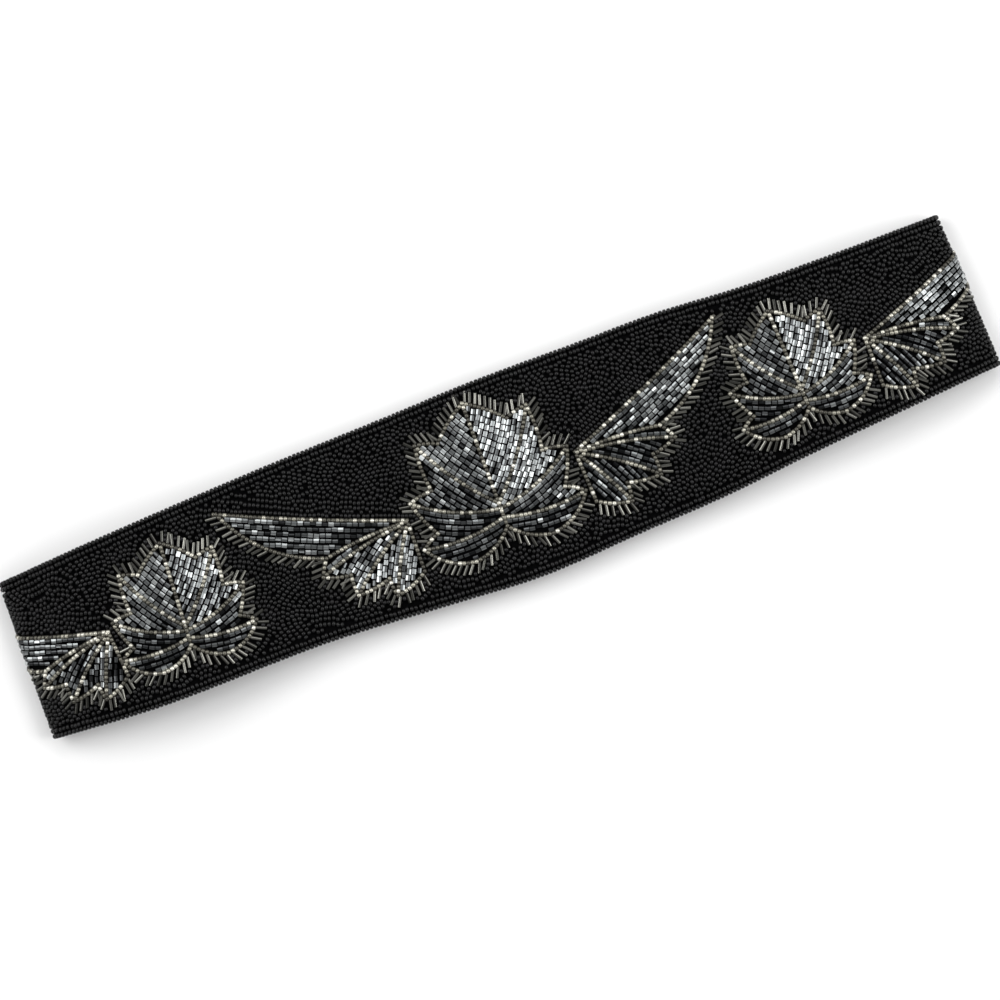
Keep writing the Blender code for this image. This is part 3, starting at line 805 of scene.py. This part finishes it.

# Beads as meshes: how far along its half length and radius a bead is full, and the radius of its
# ends; the section as (up, sideways); the angle of a sharp edge; and each of eight corners' painted shading:
# darker sides and paler top facets on cut beads (painted shade between the rows, painted highlight on the
# top), a paler line along the top of bugles (their silver lining and a painted highlight), next to nothing
# on round beads
circle = [(math.cos(spin), math.sin(spin)) for spin in np.linspace(0, 2 * math.pi, 8, endpoint=False)]
roof = [(1, 0), (0.8, 0.8), (0.1, 1), (-0.8, 0.8), (-1, 0), (-0.8, -0.8), (0.1, -1), (0.8, -0.8)]
beadForms = dict(
    seed=((0.6, 0.97, 0.44), circle, 180, np.linspace(-0.003, 0.003, 8)),
    string=((0.86, 1, 0.6), circle, 180, np.linspace(-0.003, 0.003, 8)),
    cut=((1, 1, 0.4), roof, 20, (-0.1, 0.1, -0.5, -0.6, -0.6, -0.6, -0.5, 0.05)),
    bugle=((1, 1, 0.5), circle, 60, (0.4, 0.0, -0.3, -0.3, -0.3, -0.3, -0.2, 0.1)),
)


def strungPiece(name, form, centre, thread, outward, sizes, material, slotName, roll=0.0):
    # Every point of a bead is centre + thread * x + (up * a + side * b) * r, for all beads at once,
    # with (a, b) round the section. Sizes are each bead's width, length and shade.
    (full, most, end), section, sharp, paintedCornerShading = beadForms[form]
    count = len(centre)
    wide, long, shade = (np.broadcast_to(size, count)[:, None] for size in sizes)
    side = unit(np.cross(outward, thread))
    up = np.cross(thread, side)
    x, r = np.array([(-full, most), (full, most), (1, end), (-1, end)]).T
    a, b = np.array(section, float).T
    sides, ring = len(a), len(x)
    roll = np.broadcast_to(roll, count)[:, None]
    spoke = (a * np.cos(roll) - b * np.sin(roll))[..., None] * up[:, None]
    spoke = spoke + (a * np.sin(roll) + b * np.cos(roll))[..., None] * side[:, None]
    points = centre[:, None, None] + thread[:, None, None] * (x * long / 2)[:, None, :, None]
    points = points + spoke[:, :, None] * (r * wide / 2)[:, None, :, None]
    s, k = np.meshgrid(np.arange(sides) * ring, np.arange(ring), indexing="ij")
    nextSide, nextPoint = (s + ring) % (sides * ring), (k + 1) % ring
    quad = np.stack([s + k, s + nextPoint, nextSide + nextPoint, nextSide + k], -1)
    quads = (np.arange(count) * sides * ring)[:, None, None] + quad.reshape(-1, 4)
    # Each corner's painted light and shade is added to the bead's shade
    shade = 0.01 + 0.98 * np.clip(shade + paintedCornerShading, 0, 1)
    u = np.broadcast_to(shade[:, :, None], (count, sides, ring))
    v = np.broadcast_to(0.5 + 0.48 * x + 0.01 * (r - 0.5), u.shape)
    points, quads, plan = points.reshape(-1, 3), quads.reshape(-1, 4), np.stack([u, v], -1).reshape(-1, 2)
    return addPiece(name, points, quads, material, {"OFBake": plan}, sharp=sharp)


beadLooks = dict(
    seed=(beadLook("blackSeedBead", [(0.0, (0.002, 0.002, 0.002)), (1.0, (0.009, 0.009, 0.0095))], 0.4,
                   **{"Roughness": 0.27, "Specular IOR Level": 0.26}), "black_seed_beads"),
    # The gunmetal ramp runs from near black to pale grey: partly the beads' own tone, partly painted
    # reflection of the lamps in their facets
    cut=(beadLook("gunmetalCutBead", [
        (0.0, (0.006, 0.0063, 0.007)), (0.3, (0.025, 0.0265, 0.028)), (0.55, (0.085, 0.09, 0.092)),
        (0.78, (0.23, 0.244, 0.247)), (1.0, (0.55, 0.575, 0.575))], 0.12,
        **{"Roughness": 0.25, "Metallic": 0.9}), "gunmetal_cut_beads"),
    # The champagne ramp runs from dull taupe to near white: partly the beads' own tone, partly painted
    # glints
    string=(beadLook("champagneBead", [
        (0.0, (0.055, 0.052, 0.043)), (0.4, (0.16, 0.153, 0.124)), (0.66, (0.48, 0.46, 0.385)),
        (1.0, (0.97, 0.945, 0.84))], 0.5, **{"Roughness": 0.18, "Metallic": 0.6}), "champagne_beads"),
    bugle=(beadLook("smokeBugle", [
        (0.0, (0.018, 0.0182, 0.0163)), (0.5, (0.062, 0.062, 0.055)), (1.0, (0.3, 0.298, 0.268))],
        0.12, **{"Roughness": 0.22, "Metallic": 0.8}), "smoke_bugle_beads"),
)
rng = np.random.default_rng(7)
settle = dict(height=4.0, over=0.4)  # nearer to the table than this, bead tops lie at this depth
beadPieces = []


def sew(name, form, along, across, turn, depth, wide, long, shade, tilt, roll=0.0):
    # Beads on the band. The thread turns from the band's length by `turn`, and leans out of the cloth
    # a little. Near the table nothing stands out of the bead tops, so that the band lies flat.
    height = np.clip(np.interp(along, loop.along, loop.points[:, 1]) / settle["height"], 0, 1)
    depth = height * depth + (1 - height) * np.maximum(depth, wide / 2 + settle["over"])
    centre, alongWay, acrossWay, outward = frameOnBand(along, across, depth)
    lean = rng.normal(0, tilt, len(along))[:, None]
    flat = np.cos(turn)[:, None] * alongWay + np.sin(turn)[:, None] * acrossWay
    thread, sizes = np.cos(lean) * flat + np.sin(lean) * outward, (wide, long, shade)
    beadPieces.append(strungPiece(name, form, centre, thread, outward, sizes, *beadLooks[form], roll))


def near(value, count, low, high):
    # The value times a share of its own for each bead.
    return value * rng.uniform(low, high, count)


thirds = bandEnds[0] - 1, -85, 85, bandEnds[1] + 1
for part, low, high in zip(("Left", "Middle", "Right"), thirds, thirds[1:]):
    along, across, turn = groundBeads[(groundBeads[:, 0] >= low) & (groundBeads[:, 0] < high)].T
    count = len(along)
    turn = turn + rng.normal(0, 0.1, count)
    depth = ground["wide"] / 2 + 0.02 + np.abs(rng.normal(0, 0.09, count))
    sew("groundBeads" + part, "seed", along, across, turn, depth, near(ground["wide"], count, 0.95, 1.0),
        near(ground["long"], count, 0.9, 1.04), rng.uniform(0, 1, count), 0.1)

edging = dict(insets=(1.08, 3.08), stray=(0.03, 0.1), pitch=1.66, wide=2.04, long=1.58, depth=1.08)
rows = []
for column, hand in ((1, 1), (2, -1)):
    for inset, stray in zip(edging["insets"], edging["stray"]):
        along = np.arange(bandEnds[0] + 0.9, bandEnds[1] - 0.7, 0.5)
        line = np.stack([along, hand * (edgeAt(along, column) - inset)], 1)
        places, turns = stringAlong(line, fitted(line, edging["pitch"]), rng.uniform(0, 0.4))
        rows.append(np.column_stack([places, turns]) + rng.normal(0, stray, (len(turns), 3)))
rows = np.concatenate(rows)
count = len(rows)
sew("edgingBeads", "seed", *rows.T, edging["depth"] + np.abs(rng.normal(0, 0.04, count)), edging["wide"],
    near(edging["long"], count, 0.94, 1.03), rng.uniform(0, 1, count), 0.06)

for leaf in laidLeaves:
    along, across, turn, shade = leaf.fill.T
    count = len(along)
    long, edgeUp = leaves["cutBead"][2], leaves["edgeUp"]
    # Painted light: the narrow beads of dark fields are made paler
    wide, paler = (np.interp(shade, edgeUp["shades"], edgeUp[key]) for key in ("wide", "paler"))
    turn = turn + rng.normal(0, 0.035, count)
    depth = leaves["cutDepth"] + rng.normal(0, 0.06, count)
    long = near(long, count, 0.93, 1.03)
    roll = rng.normal(0, np.where(rng.random(count) < 0.8, 0.1, 0.4))
    sew(leaf.name + "CutBeads", "cut", along, across, turn, depth, wide, long, shade + paler, 0.05, roll)
    _, wide, long = leaves["stringBead"]
    count = len(leaf.strings)
    sew(leaf.name + "StringBeads", "string", *leaf.strings.T, wide, near(long, count, 0.92, 1.04),
        rng.beta(0.9, 1.25, count), 0.08)
    _, wide, long = leaves["bugle"]
    count = len(leaf.bugles)
    depth = leaves["bugleDepth"] + rng.normal(0, 0.05, count)
    sew(leaf.name + "Fringe", "bugle", *leaf.bugles.T, depth, wide, near(long, count, 0.94, 1.03),
        rng.uniform(0.25, 0.75, count), 0.03, rng.normal(0, 0.7, count))
triangles = sum(2 * len(piece.data.polygons) for piece in beadPieces)
print("beads:", len(beadPieces), "pieces,", triangles, "triangles")

# Cloth of the beaded band: a shell from the seam round the fold, the front and the other fold
# The backing is darker than the plain bands' black sateen: partly its own black, partly painted shade in the
# gaps between the beads
gapShadedBacking = clothLook("gapShadedBeadBacking", (0.003, 0.003, 0.0033), 0.0005, 0.00006, 0.0)


def clothBand():
    stations = np.linspace(bandEnds[0], bandEnds[1], band["clothGrid"][0])
    share = np.linspace(1, -1, band["clothGrid"][1])
    upper, lower = edgeAt(stations, 1), edgeAt(stations, 2)
    middle, half = (upper - lower) / 2, (upper + lower) / 2
    edgeInset, edgeDepth = band["turnedEdge"]
    rings = []
    for depth, order in ((band["beads"], 1), (band["wall"], -1)):
        across = middle[:, None] + (half - band["faceInset"])[:, None] * share[None, ::order]
        rings.append((across, np.full(across.shape, depth)))
        across = (middle - order * (half - edgeInset))[:, None]
        rings.append((across, np.full(across.shape, edgeDepth)))
    across, depth = (np.concatenate(part, 1) for part in zip(*rings))
    along = np.broadcast_to(stations[:, None], across.shape)
    raised = np.zeros(across.shape)
    points = np.stack([along.ravel(), across.ravel()], 1)
    for leaf in laidLeaves:
        held = np.flatnonzero(inside(points, leaf.outline))
        away = distanceTo(points[held], leaf.edges)
        raised.ravel()[held] = band["underLeaves"] * smooth(away / band["padRun"])
    depth = depth - raised * (depth < band["beads"] + 0.01)
    return shellPiece("beadedCloth", onBand(along, across, depth), gapShadedBacking)


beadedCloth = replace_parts(clothBand(), "front_panel")

# The plain bands of the back and the closing tapes between them
back = dict(
    seam=127.7, wall=1.6, widths=(60.0, 56.0), round=0.5,
    past=20.0,  # how far each band runs past the centre back
    rise=(50.0, 25.0),  # the upper band climbs onto the overlap between these
    stitches=dict(inset=2.4, pitch=3.1, wide=0.42, long=2.3, levels=(0.13, 1.58)),  # on the two faces
    creases=[(23.6, 0.25, 1.5), (62.0, 0.3, 2.2), (105.0, 0.22, 1.8)],  # from the seam, depth, half width
)


blackSateen = clothLook("blackSateen", (0.007, 0.007, 0.0076), 0.0006, 0.00006, 0.22)
blackThread = Look("blackThread", **{"Base Color": (0.022, 0.022, 0.023), "Roughness": 0.55}).material


def halfWide(xs, ends):
    return np.interp((xs - ends[0]) / (ends[1] - ends[0]), (0, 1), back["widths"]) / 2


def plainBand(name, ends, lift):
    # A flat section with round edges carried along X; the faces sink a little at each crease.
    xs = np.linspace(*ends, 130)
    share = (xs - ends[0]) / (ends[1] - ends[0])
    half = halfWide(xs, ends)
    wall, corner = back["wall"], back["round"]
    bend = np.linspace(np.pi / 2, 0, 5)
    side = np.stack([corner * np.cos(bend) - corner, wall / 2 + (wall / 2) * np.sin(bend)], 1)
    side = np.concatenate([side, side[-2::-1] * (1, -1) + (0, wall)])
    flat = np.linspace(1, -1, 14)[1:-1]
    along = share * np.ptp(ends)
    sink = sum(depth * np.exp(-(((along - at) / width) ** 2)) for at, depth, width in back["creases"])
    columns = []
    for hand, face in ((1, 0.0), (-1, wall)):
        columns += [(hand * (half + inset), np.full(len(xs), z)) for inset, z in side[::hand]]
        columns += [(hand * k * (half - corner), face + hand * sink * (1 - k**2)) for k in flat]
    y = np.stack([c[0] for c in columns], 1) + middleY
    z = np.stack([c[1] for c in columns], 1) + lift(xs)[:, None]
    rings = np.stack([np.broadcast_to(xs[:, None], y.shape), y, z], -1)
    return shellPiece(name, rings, blackSateen)


def bandStitches(name, ends, lift):
    # Running stitches all round inside the edge, on both faces; each follows the band as it rises.
    stitch = SimpleNamespace(**back["stitches"])
    inset = math.copysign(stitch.inset, ends[1] - ends[0])
    xs = np.linspace(ends[0] + inset, ends[1] - inset, 80)
    upper = np.stack([xs, halfWide(xs, ends) - stitch.inset], 1)
    line = np.concatenate([upper, upper[::-1] * (1, -1), upper[:1]])
    places, turns = stringAlong(line, fitted(line, stitch.pitch))
    reach = np.stack([np.cos(turns), np.sin(turns)], 1) * stitch.long / 2
    starts, stops = (
        np.concatenate([np.column_stack([x, y + middleY, lift(x) + level]) for level in stitch.levels])
        for x, y in ((places - reach).T, (places + reach).T)
    )
    thread = unit(stops - starts)
    outward = np.broadcast_to([0.0, 0.0, 1.0], thread.shape)
    centre, sizes = (starts + stops) / 2, (stitch.wide, stitch.long, 0.5)
    return strungPiece(name, "string", centre, thread, outward, sizes, blackThread, "black_sateen")


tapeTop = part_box("loop_tape")[1].z / mm + 0.3  # the upper band lies this high over the overlap
riseStarts, riseEnds = back["rise"]
for name, node, ends, lift in (
    ("underBand", "back_under", (-back["seam"], back["past"]), lambda x: 0 * x),
    ("overBand", "back_over", (back["seam"], -back["past"]),
     lambda x: tapeTop * smooth((riseStarts - x) / (riseStarts - riseEnds))),
):
    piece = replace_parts(plainBand(name, ends, lift), node)
    bandStitches(name + "Stitches", ends, lift)
for node, grey, cell, hooked in (("hook_tape", 0.014, 0.0009, True), ("loop_tape", 0.018, 0.0006, False)):
    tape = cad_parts[node].data.materials
    tape.clear()
    tape.append(tapeLook(node.replace("_", " "), (grey,) * 3, cell, hooked))

# Stage
floorLook = Look("floor", **{"Base Color": (0.96, 0.96, 0.96), "Roughness": 0.9, "Specular IOR Level": 0.1})
floorMesh = bpy.data.meshes.new("floor")
floorPlan = (-3, -3), (3, -3), (3, 3), (-3, 3)  # metres
floorMesh.from_pydata([(x, y, -0.1 * mm) for x, y in floorPlan], [], [(0, 1, 2, 3)])
floorMesh.materials.append(floorLook.material)
floor = addObject("floor", floorMesh)

along = np.linspace(bandEnds[0], bandEnds[1], 200)

# Camera straight above, turned so that the band climbs to the right as photographed; soft light
shot = dict(
    centre=(-2.55, -6.4, 14.0), slope=21.39, across=370.4, away=1500.0,
    view="Standard",
    lamps=[  # name, to the picture's right, up the picture, height, width, depth, power
        ("leftLamp", -1150.0, 250.0, 1100.0, 1200.0, 1200.0, 15.0),
        ("rightLamp", 1150.0, 250.0, 1100.0, 1200.0, 1200.0, 15.0),
        ("topLamp", 0.0, 1150.0, 1200.0, 1300.0, 900.0, 6.5),
    ],
    sky=0.36,
)
slope = math.radians(shot["slope"])
right = np.array([math.cos(slope), -math.sin(slope), 0])
upPicture = np.array([math.sin(slope), math.cos(slope), 0])


def aim(item, place, target, up):
    z = unit(np.array(place, float) - target)
    x = unit(np.cross(up, z))
    turn = Matrix(np.column_stack([x, np.cross(z, x), z]).tolist()).to_4x4()
    item.matrix_world = Matrix.Translation((np.array(place) * mm).tolist()) @ turn


target = np.array(shot["centre"])
camera = addObject("camera", bpy.data.cameras.new("camera"))
camera.data.sensor_width = 36.0
camera.data.lens = 36.0 * shot["away"] / shot["across"]
aim(camera, target + (0, 0, shot["away"]), target, upPicture)
bpy.context.scene.camera = camera
for name, toRight, toTop, height, wide, deep, power in shot["lamps"]:
    lamp = bpy.data.lights.new(name, "AREA")
    lamp.shape, lamp.size, lamp.size_y, lamp.energy = "RECTANGLE", wide * mm, deep * mm, power
    place = target + toRight * right + toTop * upPicture + (0, 0, height)
    aim(addObject(name, lamp), place, target, upPicture + (0, 0, 0.01))
world = bpy.data.worlds.new("studio")
world.use_nodes = True
colour, strength = world.node_tree.nodes["Background"].inputs[:2]
colour.default_value, strength.default_value = (1, 1, 1, 1), shot["sky"]
bpy.context.scene.world = world
bpy.context.scene.view_settings.view_transform = shot["view"]
print("stage set")
